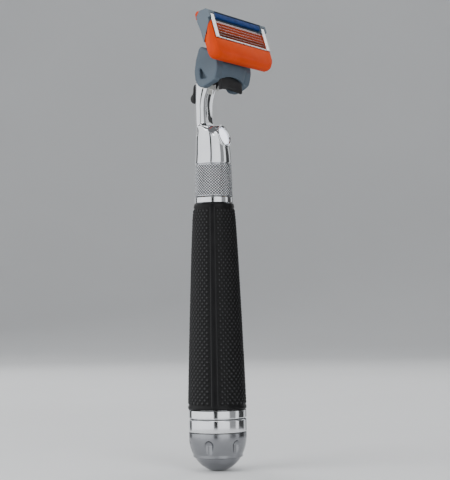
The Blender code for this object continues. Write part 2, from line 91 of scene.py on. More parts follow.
LAMP_FORWARD, LAMP_Z, LAMP_TILT = 4.5, 119.3, math.radians(17)
LAMP_STRETCH = 0.15                     # how much further the lamp reaches up than across
PLUNGER_FORWARD, PLUNGER_BORE_R = 5.2, 1.5
PIVOT_FORWARD, PIVOT_Z = 10.0, 148.5
FACE_TILT = math.radians(16.3)
FACE_DEPTH, FACE_RISE = 4.09, 6.45      # from the pivot to the middle of the blade face
ARCH_R, ARCH_CENTRE_Z = 24.0, 116.0
CARTRIDGE_HALF = node_box("cartridge_housing")[1].x


# ---------------------------------------------------------------- mesh helpers

def angles(count):
    return [math.tau * step / count for step in range(count)]


def make_piece(name, verts, faces, look, body, slot, stands_for=(), sharp=None):
    """A mesh in millimetres that rides on a body and stands for the CAD nodes given."""
    mesh = bpy.data.meshes.new(name)
    mesh.from_pydata([Vector(vert) * MM for vert in verts], [], faces)
    bm = bmesh.new()
    bm.from_mesh(mesh)
    bmesh.ops.recalc_face_normals(bm, faces=bm.faces)
    bm.to_mesh(mesh)
    bm.free()
    mesh.shade_smooth()
    if sharp:
        mesh.set_sharp_from_angle(angle=math.radians(sharp))
    obj = bpy.data.objects.new(name, mesh)
    bpy.context.scene.collection.objects.link(obj)
    if look:
        mesh.materials.append(look)
    if body:
        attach(obj, body)
        if stands_for:
            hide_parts(*stands_for)
    return obj


def skin(rings, closed=False, fan=False):
    """Verts and faces of equal rings joined in order.

    closed joins the last ring to the first. fan closes ends that aren't flat round their middle point.
    """
    count = len(rings[0])
    verts = [point for ring in rings for point in ring]
    faces = []
    last = len(rings) if closed else len(rings) - 1
    for row in range(last):
        low, high = row * count, (row + 1) % len(rings) * count
        for column in range(count):
            after = (column + 1) % count
            faces.append((low + column, low + after, high + after, high + column))
    if fan:
        for start, ring in ((0, rings[0]), (last * count, rings[-1])):
            middle = len(verts)
            verts.append(tuple(sum(values) / count for values in zip(*ring)))
            faces += [(start + column, start + (column + 1) % count, middle) for column in range(count)]
    elif not closed:
        faces.append(tuple(range(count))[::-1])
        faces.append(tuple(range((len(rings) - 1) * count, len(rings) * count)))
    return verts, faces


def soften(outline, radius):
    """A closed outline with each corner replaced by a short curve."""
    softened = []
    count = len(outline)
    for index, corner in enumerate(outline):
        corner = Vector(corner)
        before, after = Vector(outline[index - 1]), Vector(outline[(index + 1) % count])
        start = corner + (before - corner).normalized() * min(radius, (before - corner).length * 0.45)
        end = corner + (after - corner).normalized() * min(radius, (after - corner).length * 0.45)
        for step in range(CORNER_STEPS + 1):
            share = step / CORNER_STEPS
            point = start.lerp(corner, share).lerp(corner.lerp(end, share), share)
            softened.append(tuple(point))
    return softened


def turned(profile):
    """Verts and faces of a closed (radius, height) profile turned about the handle's axis."""
    rings = [[(radius * math.cos(a), radius * math.sin(a), height) for a in angles(TURN_STEPS)]
             for radius, height in profile]
    return skin(rings, closed=True)


def prism(outline, low, high):
    """A (y, z) outline extruded along X."""
    rings = [[(x, y, z) for y, z in outline] for x in (low, high)]
    return skin(rings)


def mark_relief(obj, rows):
    """Stores each point's share of the relief, 0 in a groove and 1 on a tip, for the material to read; the
    material paints shade into the grooves and a highlight onto the tips.
    """
    relief = obj.data.attributes.new("relief", "FLOAT", "POINT")
    relief.data.foreach_set("value", np.concatenate(rows).astype(np.float32))


def bevel(obj, width, segments=3, angle=30):
    modifier = obj.modifiers.new("edges", "BEVEL")
    modifier.width = width * MM
    modifier.segments = segments
    modifier.limit_method = "ANGLE"
    modifier.angle_limit = math.radians(angle)
    modifier.harden_normals = True
    modifier.use_clamp_overlap = True
    return modifier


def combine(obj, shape, operation="DIFFERENCE"):
    """A Boolean with a hidden tool, given as (verts, faces)."""
    number = len(obj.modifiers)
    tool = make_piece(f"{obj.name}_tool_{number}", *shape, None, None, None)
    tool.hide_render = True
    tool.display_type = "WIRE"
    tool.parent = obj.parent
    modifier = obj.modifiers.new(f"shape_{number}", "BOOLEAN")
    modifier.operation = operation
    modifier.object = tool


def tilted(forward, height, tilt):
    """Gives a function from a leaning plane's own (x, y, z) to the frame's.

    The plane faces -Y and leans back.
    """
    sine, cosine = math.sin(tilt), math.cos(tilt)

    def place(x, y, z):
        return (x, -forward + y * cosine + z * sine, height - y * sine + z * cosine)

    return place


def lamp_ring(radius, depth, count=72):
    """A ring of the lamp, at a depth behind its face."""
    return [lamp_place(radius * math.cos(a), depth,
                       (radius + LAMP_STRETCH) * math.sin(a)) for a in angles(count)]


lamp_place = tilted(LAMP_FORWARD, LAMP_Z, LAMP_TILT)
unit_place = tilted(PIVOT_FORWARD, PIVOT_Z, FACE_TILT)


def on_face(x, out, down):
    """A point given from the middle of the blade face: across, out of it and down it."""
    return unit_place(x, -FACE_DEPTH - out, FACE_RISE - down)


def face_prism(outline, low, high):
    """An (out, down) outline extruded across the blade face."""
    return skin([[on_face(x, out, down) for out, down in outline] for x in (low, high)])


def face_block(low, high, outs, downs):
    outline = [(outs[0], downs[0]), (outs[1], downs[0]), (outs[1], downs[1]), (outs[0], downs[1])]
    return face_prism(outline, low, high)


def power(value, exponent):
    """A power that keeps the sign."""
    return math.copysign(abs(value) ** exponent, value)


def spline(a, b, c, d, share):
    """Value between b and c on the smooth curve that also passes a and d."""
    return 0.5 * (2 * b + (c - a) * share + (2 * a - 5 * b + 4 * c - d) * share ** 2
                  + (3 * b - a - 3 * c + d) * share ** 3)


def eased(stations, steps):
    """Tuples drawn on a smooth curve through the stations, with steps between each two."""
    drawn = []
    for index in range(len(stations) - 1):
        before = stations[max(index - 1, 0)]
        start, end = stations[index], stations[index + 1]
        after = stations[min(index + 2, len(stations) - 1)]
        for step in range(steps):
            drawn.append(tuple(spline(*values, step / steps) for values in zip(before, start, end, after)))
    drawn.append(stations[-1])
    return drawn


def smooth_loop(points):
    """A closed smooth curve through (x, forward) points."""
    count = len(points)
    drawn = []
    for index in range(count):
        a, b, c, d = (points[(index + offset) % count] for offset in (-1, 0, 1, 2))
        drawn += [tuple(spline(*values, step / LOOP_STEPS) for values in zip(a, b, c, d))
                  for step in range(LOOP_STEPS)]
    return drawn


def arch_z(x, drop=0.0):
    """Height of the yoke's arch at x, or of a line drop below it."""
    return ARCH_CENTRE_Z - drop + math.sqrt(ARCH_R ** 2 - x ** 2)


# ---------------------------------------------------------------- materials

def add_noise(tree, size, stretch=(1, 1, 1)):
    """Noise whose blobs are about size millimetres, drawn out along an axis by stretch."""
    nodes, links = tree.nodes, tree.links
    place = nodes.new("ShaderNodeTexCoord")
    mapping = nodes.new("ShaderNodeMapping")
    mapping.inputs["Scale"].default_value = [1 / (size * MM * factor) for factor in stretch]
    noise = nodes.new("ShaderNodeTexNoise")
    noise.inputs["Scale"].default_value = 1.0
    noise.inputs["Detail"].default_value = 4.0
    links.new(place.outputs["Object"], mapping.inputs["Vector"])
    links.new(mapping.outputs["Vector"], noise.inputs["Vector"])
    return noise.outputs["Fac"]


def add_range(tree, source, low, high, start=0.3, end=0.7):
    node = tree.nodes.new("ShaderNodeMapRange")
    node.inputs["From Min"].default_value = start
    node.inputs["From Max"].default_value = end
    node.inputs["To Min"].default_value = low
    node.inputs["To Max"].default_value = high
    tree.links.new(source, node.inputs["Value"])
    return node.outputs["Result"]


def add_mix(tree, share, first, second):
    node = tree.nodes.new("ShaderNodeMix")
    node.data_type = "RGBA"
    tree.links.new(share, node.inputs["Factor"])
    for socket, value in ((node.inputs["A"], first), (node.inputs["B"], second)):
        if isinstance(value, tuple):
            socket.default_value = (*value, 1)
        else:
            tree.links.new(value, socket)
    return node.outputs["Result"]


def surface(name, colour, roughness, metallic=0.0, spread=0.12, grain=0.3, depth=0.01, stretch=(1, 1, 1),
            wear_and_highlight=None, crease_shade=None, patch=7.0, groove=None, tip=None, **sockets):
    """A Principled surface whose colour and roughness wander, with fine relief, lighter edges (part wear,
    part painted highlight) and painted shade in creases.

    roughness is its (low, high). grain is the size of the relief and depth its height, in millimetres.
    groove and tip are the colours at the bottom and on the top of a marked relief: painted shade in the
    grooves and a painted highlight on the tips.
    """
    material = bpy.data.materials.new(name)
    material.use_nodes = True
    tree = material.node_tree
    shader = tree.nodes["Principled BSDF"]
    shader.inputs["Metallic"].default_value = metallic
    for socket, value in sockets.items():
        shader.inputs[socket.replace("_", " ")].default_value = value

    darker = tuple(channel * (1 - spread) for channel in colour)
    lighter = tuple(min(1.0, channel * (1 + spread)) for channel in colour)
    base = add_mix(tree, add_range(tree, add_noise(tree, patch), 0, 1), darker, lighter)
    point = tree.nodes.new("ShaderNodeNewGeometry").outputs["Pointiness"]
    # Lighter colour on convex edges, where pointiness is high: part wear, part painted highlight.
    if wear_and_highlight:
        base = add_mix(tree, add_range(tree, point, 0, 0.7, 0.515, 0.58), base, wear_and_highlight)
    # Darker colour in the creases and hollows, where pointiness is low: painted shade.
    if crease_shade:
        base = add_mix(tree, add_range(tree, point, 0.7, 0, 0.42, 0.49), base, crease_shade)
    # Grooves of a marked relief take a darker colour, painted shade, and tips a lighter one, a painted
    # highlight.
    if groove:
        marked = tree.nodes.new("ShaderNodeAttribute")
        marked.attribute_name = "relief"
        base = add_mix(tree, add_range(tree, marked.outputs["Fac"], 1, 0, 0.15, 0.50), base, groove)
        base = add_mix(tree, add_range(tree, marked.outputs["Fac"], 0, 1, 0.55, 0.95), base, tip)
    tree.links.new(base, shader.inputs["Base Color"])

    fine = add_noise(tree, grain, stretch)
    tree.links.new(add_range(tree, add_noise(tree, patch * 0.6, stretch), *roughness),
                   shader.inputs["Roughness"])
    bump = tree.nodes.new("ShaderNodeBump")
    bump.inputs["Distance"].default_value = depth * MM
    tree.links.new(fine, bump.inputs["Height"])
    tree.links.new(bump.outputs["Normal"], shader.inputs["Normal"])
    return material


AROUND = (60, 60, 1)    # grain drawn out round the handle, as turning leaves it
ACROSS = (60, 1, 1)     # grain drawn out along the blades

# The chromes and satin metal are darkened in their creases by a given colour: painted shade.
polished = surface("polished_chrome", (0.80, 0.81, 0.83), (0.04, 0.10), 1.0, spread=0.03, grain=0.8,
                   depth=0.0006, crease_shade=(0.25, 0.25, 0.26))
turned_chrome = surface("turned_chrome", (0.80, 0.81, 0.83), (0.07, 0.15), 1.0, spread=0.03, grain=0.12,
                        depth=0.002, stretch=AROUND, crease_shade=(0.22, 0.22, 0.23))
satin = surface("satin_metal", (0.27, 0.275, 0.29), (0.18, 0.28), 1.0, spread=0.06, grain=0.10, depth=0.004,
                stretch=AROUND, crease_shade=(0.06, 0.06, 0.065))
# The knurl's near-black grooves are painted shade and its bright tips a painted highlight.
knurl_metal = surface("knurled_metal", (0.42, 0.43, 0.45), (0.20, 0.30), 1.0, spread=0.05, grain=0.15,
                      depth=0.002, groove=(0.03, 0.03, 0.033), tip=(0.86, 0.87, 0.88))
# The grip's darker grooves are painted shade and its lighter diamond tips painted highlights.
grip_rubber = surface("grip_rubber", (0.0022, 0.0022, 0.0026), (0.30, 0.42), spread=0.25, grain=0.12,
                      depth=0.006, groove=(0.0004, 0.0004, 0.0005), tip=(0.030, 0.030, 0.032),
                      Specular_IOR_Level=0.18)
# Slate and orange are darkened in their creases (painted shade) and lightened on their edges (part wear, part
# painted highlight).
slate = surface("slate_plastic", (0.060, 0.085, 0.112), (0.42, 0.55), spread=0.08, grain=0.10, depth=0.004,
                wear_and_highlight=(0.10, 0.13, 0.16), crease_shade=(0.02, 0.03, 0.045), Specular_IOR_Level=0.25)
orange = surface("orange_elastomer", (0.52, 0.038, 0.0006), (0.58, 0.72), spread=0.08, grain=0.14,
                 depth=0.006,
                 wear_and_highlight=(0.62, 0.060, 0.002), crease_shade=(0.25, 0.012, 0.0005), Specular_IOR_Level=0.08)
# The strip's lighter edges are part wear, part painted highlight.
strip_blue = surface("strip_polymer", (0.004, 0.026, 0.120), (0.50, 0.66), spread=0.35, grain=0.20,
                     depth=0.012,
                     stretch=(5, 1, 1), patch=1.2, wear_and_highlight=(0.010, 0.05, 0.19), Specular_IOR_Level=0.10)
blade_steel = surface("blade_steel", (0.86, 0.87, 0.88), (0.20, 0.30), 1.0, spread=0.03, grain=0.08,
                      depth=0.0006, stretch=ACROSS)
clip_steel = surface("clip_aluminium", (0.90, 0.90, 0.91), (0.24, 0.34), 1.0, spread=0.02, grain=0.12,
                     depth=0.0006)
# The dark plastic's lighter edges are part wear, part painted highlight.
dark_plastic = surface("dark_plastic", (0.012, 0.012, 0.013), (0.36, 0.48), spread=0.15, grain=0.12,
                       depth=0.005, wear_and_highlight=(0.03, 0.03, 0.032), Specular_IOR_Level=0.25)
white_plastic = surface("white_plastic", (0.70, 0.70, 0.67), (0.38, 0.50), spread=0.04, grain=0.15,
                        depth=0.006)
board = surface("solder_mask", (0.015, 0.12, 0.045), (0.25, 0.40), spread=0.15, grain=0.4, depth=0.01)
jacket = surface("cell_jacket", (0.04, 0.04, 0.05), (0.22, 0.34), spread=0.10, grain=0.3, depth=0.004)
brass = surface("plain_brass", (0.72, 0.50, 0.20), (0.22, 0.34), 1.0, spread=0.08, grain=0.15, depth=0.004)
spring_steel = surface("spring_steel", (0.55, 0.55, 0.56), (0.22, 0.32), 1.0, spread=0.05, grain=0.1,
                       depth=0.003)
lens_clear = surface("lens_clear", (0.85, 0.88, 0.95), (0.05, 0.10), spread=0.03, grain=0.5, depth=0.004,
                     Emission_Color=(0.86, 0.90, 1.0, 1), Emission_Strength=1.4)
lamp_look = surface("lamp_body", (0.95, 0.93, 0.70), (0.15, 0.25), spread=0.03, grain=0.3, depth=0.004,
                    Emission_Color=(1.0, 0.98, 0.92, 1), Emission_Strength=8.0)

SLOT_LOOKS = {
    "satin_chrome": satin, "chrome": polished, "steel": spring_steel, "brass": brass,
    "grip_rubber": grip_rubber,
    "orange_rubber": orange, "slate_plastic": slate, "blue_strip": strip_blue, "dark_plastic": dark_plastic,
    "white_plastic": white_plastic, "board_green": board, "cell_jacket": jacket, "clear_lens": lens_clear,
    "lamp": lamp_look,
}
for part in frame["record"]["subparts"]:
    mesh = frame["nodes"][part["node"]].data
    mesh.materials.clear()
    mesh.materials.append(SLOT_LOOKS[part["material_slot"]])


# ---------------------------------------------------------------- handle

def diamonds(p, q, columns, rows, groove, flat):
    """Height, 0 to 1, of staggered raised diamonds at the half-pitch coordinates p and q."""
    s, t = (p + q) / 2, (p - q) / 2
    s_mid, t_mid = np.round(s), np.round(t)
    edge = 1 - 2 * np.maximum(abs(s - s_mid), abs(t - t_mid))
    height = np.clip((edge - groove) / (1 - groove - flat), 0, 1)
    p_mid, q_mid = s_mid + t_mid, s_mid - t_mid
    whole = (p_mid > 0.5) & (p_mid < columns - 0.5) & (q_mid > 0.5) & (q_mid < rows - 0.5)
    return np.where(whole, height, 0)


GRIP_LOW, GRIP_TOP = heights("grip_sleeve")
GRIP_STATIONS = ((21.9, 10.2), (32, 9.9), (44, 9.45), (55, 9.05), (66, 8.6), (78, 8.1), (89.5, 7.5),
                 (95.2, 6.95))
RIB_ANGLES = (64, 180, 296)     # degrees from straight ahead, towards -X
RIB_PROFILE = ((-9.6, 0), (-8.2, 0), (-7.2, -0.04), (-6.9, 0.02), (-6.7, 0.2), (-6.3, 0.34), (-5.7, 0.38),
               (-3.0, 0.37), (0, 0.37), (3.0, 0.37), (5.7, 0.38), (6.3, 0.34), (6.7, 0.2), (6.9, 0.02),
               (7.2, -0.04), (8.2, 0), (9.6, 0))


def grip_columns():
    """Angle, rib relief, lattice coordinate and lattice width of each line of points up the grip."""
    samples, pitch_deg = 4, 11.0
    columns = []
    for index, rib in enumerate(RIB_ANGLES):
        following = RIB_ANGLES[(index + 1) % 3] + (360 if index == 2 else 0)
        columns += [(rib + offset, relief, -1, 0) for offset, relief in RIB_PROFILE]
        start, end = rib + RIB_PROFILE[-1][0], following + RIB_PROFILE[0][0]
        halves = 2 * round((end - start) / pitch_deg)
        for step in range(1, halves * samples):
            p = step / samples
            columns.append((start + (end - start) * p / halves, 0, p, halves))
    return columns


def build_grip():
    """Tapered sleeve with raised diamonds, three smooth ribs and plain bands at both ends."""
    texture_low, texture_top, pitch, samples = 23.4, 93.5, 2.06, 4
    halves = 2 * round((texture_top - texture_low) / pitch)
    relief_height, inner_r, inner_low_r = 0.36, 5.7, 5.7 + 3.1
    columns = grip_columns()
    turn = np.radians([column[0] for column in columns])
    rib = np.array([column[1] for column in columns])
    p = np.array([column[2] for column in columns])
    width = np.array([column[3] for column in columns])
    station_z, station_r = np.array(GRIP_STATIONS).T

    def ring(height, radius):
        return [(-r * math.sin(a), -r * math.cos(a), height) for r, a in zip(radius, turn)]

    def base(height, relief=0.0):
        return np.interp(height, station_z, station_r) + relief + np.zeros(len(turn))

    # Marks for the material: along the textured length each rib's shoulders get the tip colour, a painted
    # highlight on both edges of the rib; rib tops stay plain and the rest leans slightly to the groove
    # colour.
    plain = np.where(rib > 0.25, 0.55, 0.4)
    edge = np.where((rib > 0.15) & (rib < 0.36), 1.0, plain)
    marks = [plain] * 6
    rings = [ring(GRIP_LOW, base(GRIP_LOW, -1.2)), ring(GRIP_LOW, base(GRIP_LOW, 0.0)),
             ring(GRIP_LOW + 0.12, base(GRIP_LOW, 0.22)), ring(GRIP_LOW + 0.35, base(GRIP_LOW, 0.3)),
             ring(GRIP_LOW + 1.0, base(GRIP_LOW, 0.3)), ring(texture_low - 0.35, base(texture_low, 0.28))]
    for step in range(halves * samples + 1):
        q = step / samples
        height = texture_low + (texture_top - texture_low) * q / halves
        raised = np.where(p >= 0, diamonds(p, np.full(len(p), q), width, halves, 0.16, 0.22), 0)
        rings.append(ring(height, base(height, relief_height * raised + rib)))
        # Raised diamonds are marked for the material's painted highlight on their tips and painted shade in
        # their grooves.
        marks.append(np.where(p >= 0, raised, edge))
    rings += [ring(texture_top + 0.35, base(texture_top + 0.35, 0.26)),
              ring(GRIP_TOP - 0.5, base(GRIP_TOP, 0.22)), ring(GRIP_TOP - 0.12, base(GRIP_TOP, 0.12)),
              ring(GRIP_TOP, base(GRIP_TOP, -0.1)), ring(GRIP_TOP, np.full(len(turn), inner_r)),
              ring(GRIP_LOW, np.full(len(turn), inner_low_r))]
    marks += [plain] * 6
    grip = make_piece("grip", *skin(rings, closed=True), grip_rubber, "handle", "grip_rubber",
                      ["grip_sleeve"])
    mark_relief(grip, marks)
    return grip


def build_collar():
    """Twist collar with a diamond knurl between plain chamfered ends."""
    low, top = heights("knurled_collar")
    wide, narrow, bore = 6.85, 6.6, 5.65
    knurl_low, knurl_top = low + 0.45, top - 0.45
    columns, rows, samples, relief = 78, 22, 4, 0.34
    turn = np.array(angles(columns * samples))
    p = np.arange(columns * samples) / samples

    def ring(height, inset):
        share = (height - low) / (top - low)
        radius = wide + (narrow - wide) * share - inset
        return [(r * math.cos(a), r * math.sin(a), height) for r,
                a in zip(radius + np.zeros(len(turn)), turn)]

    rings = [ring(low, 0.5), ring(low + 0.05, 0.12), ring(low + 0.2, 0.02), ring(knurl_low - 0.1, 0.02),
             ring(knurl_low, 0.2)]
    plain = np.full(len(turn), 0.6)
    marks = [plain] * len(rings)
    for step in range(rows * samples + 1):
        q = step / samples
        s, t = (p + q) / 2, (p - q) / 2
        edge = 1 - 2 * np.maximum(abs(s - np.round(s)), abs(t - np.round(t)))
        # Marks for the knurl: the material paints a highlight on the tips and shade in the grooves.
        tip = np.clip(edge * 1.15, 0, 1)
        rings.append(ring(knurl_low + 0.05 + (knurl_top - knurl_low - 0.1) * q / rows,
                          relief * (1 - tip) - 0.04))
        marks.append(tip)
    rings += [ring(knurl_top, 0.2), ring(knurl_top + 0.1, 0.1), ring(top - 0.18, 0.2), ring(top - 0.04, 0.35),
              ring(top, 0.6)]
    bore_ring = [(bore * math.cos(a), bore * math.sin(a), top) for a in turn]
    rings += [bore_ring, [(x, y, low) for x, y, _ in bore_ring]]
    marks += [plain] * (len(rings) - len(marks))
    collar = make_piece("twist_collar", *skin(rings, closed=True), knurl_metal, "collar", "satin_chrome",
                        ["knurled_collar"])
    mark_relief(collar, marks)
    return collar


def build_rings():
    """Turned rings: trim under the twist collar, lower collar and cap band, each with soft edges."""
    low, top = heights("upper_trim_ring")
    outer = reach("upper_trim_ring")
    trim_bore, collar_bore, collar_neck = 5.65, 7.8, 8.5
    trim = [(trim_bore, low), (outer, low), (outer, top), (trim_bore, top)]
    make_piece("trim_ring", *turned(soften(trim, 0.14)), turned_chrome, "handle", "chrome",
               ["upper_trim_ring"])

    low, top = heights("lower_collar")
    outer = reach("lower_collar")
    step_z = GRIP_LOW - 0.3
    collar = [(collar_bore, low), (outer - 0.28, low), (outer, low + 0.28), (outer, step_z),
              (collar_neck, step_z), (collar_neck, top), (collar_bore, top)]
    make_piece("lower_ring", *turned(soften(collar, 0.12)), turned_chrome, "handle", "chrome",
               ["lower_collar"])

    low, top = heights("cap_band")
    band = [(collar_bore, low), (outer, low), (outer, top - 0.28), (outer - 0.28, top), (collar_bore, top)]
    make_piece("cap_ring", *turned(soften(band, 0.12)), turned_chrome, "cap", "chrome", ["cap_band"])


def build_dome():
    """Domed end cap with finger scallops as a round-nosed cutter leaves them."""
    top = heights("cap_dome")[1]
    height, wall, flat_r = top - 1.15, 1.4, 2.0
    radius = reach("cap_dome")
    cutter_r, cutter_reach, cutter_top = 1.9, 10.85, 9.5
    scallops, first = 6, math.radians(12)
    turn = []
    for index in range(scallops):
        middle = first + math.tau * index / scallops
        near = math.radians(12)
        turn += [middle + near * (step / 20 - 1) for step in range(40)]
        rest = math.tau / scallops - 2 * near
        turn += [middle + near + rest * step / 12 for step in range(12)]
    turn = np.array(turn)
    offset = (turn - first + math.pi / scallops) % (math.tau / scallops) - math.pi / scallops

    start = math.asin(flat_r / radius)
    sink = height * (1 - math.cos(start))

    def ring(arc):
        z = height * (1 - math.cos(arc)) - sink
        dome_r = np.full(len(turn), radius * math.sin(arc))
        nose = cutter_r ** 2 - max(z - cutter_top, 0) ** 2
        inside = nose - (cutter_reach * np.sin(offset)) ** 2
        cut_r = cutter_reach * np.cos(offset) - np.sqrt(np.maximum(inside, 0))
        dome_r = np.where((inside > 0) & (nose > 0), np.minimum(dome_r, cut_r), dome_r)
        return [(r * math.cos(a), r * math.sin(a), z) for r, a in zip(dome_r, turn)]

    rings = [ring(start + (math.pi / 2 - start) * step / 130) for step in range(131)]
    edge = radius - 0.06
    flat_rings = [[(r * math.cos(a), r * math.sin(a), z) for a in turn] for r, z in
                  ((radius, top - 0.12), (edge, top), (radius - wall, top), (radius - wall, 5.0),
                   (0.3, wall + 0.4), (0.3, 0.0))]
    return make_piece("cap_shell", *skin(rings + flat_rings, closed=True), satin, "cap", "satin_chrome",
                      ["cap_dome"], sharp=40)


def build_threaded_core():
    """The cap's inner sleeve with its thread, seen when the cap is unscrewed."""
    low, top = heights("cap_core")
    root_r, crest_r, bore_r, pitch = 7.2, 7.74, 6.3, 2.5
    flange_r, flange = 8.5, low + 1.4
    thread_low, thread_top = 20.8, top - 0.4
    turn, rows = angles(96), 90

    def radius(angle, z):
        if not thread_low < z < thread_top:
            return root_r
        phase = (z / pitch - angle / math.tau) % 1
        fade = min(1, (z - thread_low) / 0.8, (thread_top - z) / 0.8)
        crest = max(0.0, min(1.0, (0.34 - abs(phase - 0.5)) / 0.12))
        return root_r + (crest_r - root_r) * crest * fade

    rings = [[(flange_r * math.cos(a), flange_r * math.sin(a), z) for a in turn] for z in (low, flange)]
    for row in range(rows + 1):
        z = flange + (top - flange) * row / rows
        rings.append([(radius(a, z) * math.cos(a), radius(a, z) * math.sin(a), z) for a in turn])
    rings += [[(r * math.cos(a), r * math.sin(a), z) for a in turn]
              for r, z in ((bore_r, top), (bore_r, flange), (0.3, flange), (0.3, low))]
    return make_piece("cap_thread", *skin(rings, closed=True), white_plastic, "cap", "white_plastic",
                      ["cap_core"], sharp=45)


# ---------------------------------------------------------------- neck and lamp

# Half sections of the neck's arm as (across, forward) points: rear, side, crease, then the hollow front.
ARM_SECTIONS = {
    122.9: ((0, -5.25), (2.9, -5.05), (4.45, -3.9), (4.9, -2.1), (4.7, -0.6), (4.2, 0.7), (3.7, 1.9),
            (2.1, 3.4), (0, 3.8)),
    123.3: ((0, -5.3), (2.8, -5.1), (4.35, -4.0), (4.7, -2.5), (4.2, -1.2), (3.4, -0.2), (3.0, 0.2),
            (1.6, 0.9), (0, 1.1)),
    123.8: ((0, -5.35), (2.75, -5.15), (4.2, -4.15), (4.5, -2.8), (3.85, -1.75), (2.9, -1.0), (2.5, -0.9),
            (1.3, -0.85), (0, -0.8)),
    125.0: ((0, -5.4), (2.7, -5.2), (4.1, -4.25), (4.35, -2.9), (3.65, -1.85), (2.65, -1.2), (2.25, -1.25),
            (1.1, -1.45), (0, -1.5)),
    128.4: ((0, -5.45), (2.65, -5.25), (4.0, -4.3), (4.25, -2.9), (3.6, -1.9), (2.6, -1.3), (2.2, -1.3),
            (1, -1.65), (0, -1.75)),
    130.5: ((0, -5.5), (2.6, -5.3), (3.95, -4.4), (4.2, -3.0), (3.5, -1.95), (2.55, -1.35), (2.15, -1.38),
            (1, -1.75), (0, -1.85)),
    133.0: ((0, -5.5), (2.6, -5.25), (3.95, -4.35), (4.3, -2.9), (3.7, -1.7), (2.75, -1.05), (2.3, -1.1),
            (1.1, -1.5), (0, -1.6)),
    136.2: ((0, -5.35), (2.6, -5.1), (4.1, -4.15), (4.6, -2.6), (4.0, -1.0), (2.95, -0.05), (2.5, -0.1),
            (1.3, -0.6), (0, -0.75)),
    137.8: ((0, -5.25), (2.7, -5.0), (4.3, -4.0), (4.9, -2.3), (4.4, -0.5), (3.4, 0.45), (2.9, 0.4),
            (1.5, -0.1), (0, -0.3)),
}
ARM_TOP = ((0, -5.1), (2.9, -4.85), (4.7, -3.8), (5.3, -2.0), (5.0, -0.1), (4.1, 1.1), (3.6, 1.1),
           (1.8, 0.7), (0, 0.5))
BOSS = ((109.5, 6.2, 0.0, 6.2), (109.85, 6.45, 0.0, 6.45), (111, 6.36, 0.05, 6.38), (113.2, 6.2, 0.05, 6.25),
        (116, 5.95, -0.1, 6.05), (119, 5.6, -0.35, 5.7), (121.7, 5.2, -0.7, 5.0))
SECTION_TURNS = (0, 33, 62, 88, 104, 116, 140, 160, 180)    # degrees from the rear of a round section


def build_neck():
    """Chrome neck: round foot, lamp boss, and a rear arm with a scooped front that widens under the head."""
    stations = []
    for height, half_width, forward, half_depth in BOSS:
        half = [(half_width * math.sin(math.radians(turn)),
                 forward - half_depth * math.cos(math.radians(turn)))
                for turn in SECTION_TURNS]
        stations.append((height, half))
    stations += list(ARM_SECTIONS.items())
    flat = [(height, *(value for point in half for value in point)) for height, half in stations]
    drawn = eased(flat, 4)

    def loop(half):
        mirrored = [(-x, forward) for x, forward in half[-2:0:-1]]
        return smooth_loop(list(half) + mirrored)

    spigot, spigot_z = 0.8, 106.0       # share of the foot's width that goes down inside the collar
    rings = [[(x * spigot, -forward * spigot, spigot_z) for x, forward in loop(stations[0][1])]]
    for height, *values in drawn:
        half = list(zip(values[::2], values[1::2]))
        rings.append([(x, -forward, height) for x, forward in loop(half)])
    last_height, last = stations[-1]
    for rise in (0.15, 0.3, 0.45, 0.6, 0.75, 0.9, 1.0):
        half = [(a[0] + (b[0] - a[0]) * rise, a[1] + (b[1] - a[1]) * rise) for a, b in zip(last, ARM_TOP)]
        rings.append([(x, -forward, last_height + (arch_z(x, 0.4) - last_height) * rise)
                      for x, forward in loop(half)])
    neck = make_piece("neck_body", *skin(rings, fan=True), polished, "handle", "chrome", ["neck"])
    seat_r, seat_front, seat_back = 3.9, -3, 2.4
    combine(neck, skin([lamp_ring(seat_r, depth, 64) for depth in (seat_front, seat_back)]))
    return neck


def build_lamp():
    """Round lamp: a rolled bezel and a domed lens inside it."""
    lip = ((3.45, 1.6), (3.2, 0.6), (3.1, 0.1), (3.25, -0.35), (3.6, -0.62), (3.98, -0.55), (4.25, -0.2),
           (4.32, 0.3), (4.2, 2.6), (3.6, 2.6))
    rings = [lamp_ring(radius, depth) for radius, depth in lip]
    make_piece("lamp_bezel", *skin(rings, closed=True), polished, "handle", "chrome", ["lens_bezel"])
    crown = ((3.1, 1.5), (3.05, 0.9), (2.95, 0.6), (2.8, 0.25), (2.5, 0.05), (2.1, -0.1), (1.6, -0.22),
             (1.0, -0.31), (0.5, -0.35), (0.1, -0.36))
    rings = [lamp_ring(radius, depth) for radius, depth in crown]
    make_piece("lamp_lens_dome", *skin(rings), lens_clear, "handle", "clear_lens", ["lamp_lens"])


# ---------------------------------------------------------------- head

def head_plan(half_width, front, rear):
    """Plan of the head's hub, squarish and narrower at the rear, as (x, forward) points."""
    squareness, taper, count = 4.0, 0.6, 112
    middle, half_depth = (front + rear) / 2, (front - rear) / 2
    points = []
    for a in angles(count):
        forward = middle + half_depth * power(math.sin(a), 2 / squareness)
        narrowing = 1 - taper * (front - forward) / (front - rear)
        points.append((half_width * power(math.cos(a), 2 / squareness) * narrowing, forward))
    return points


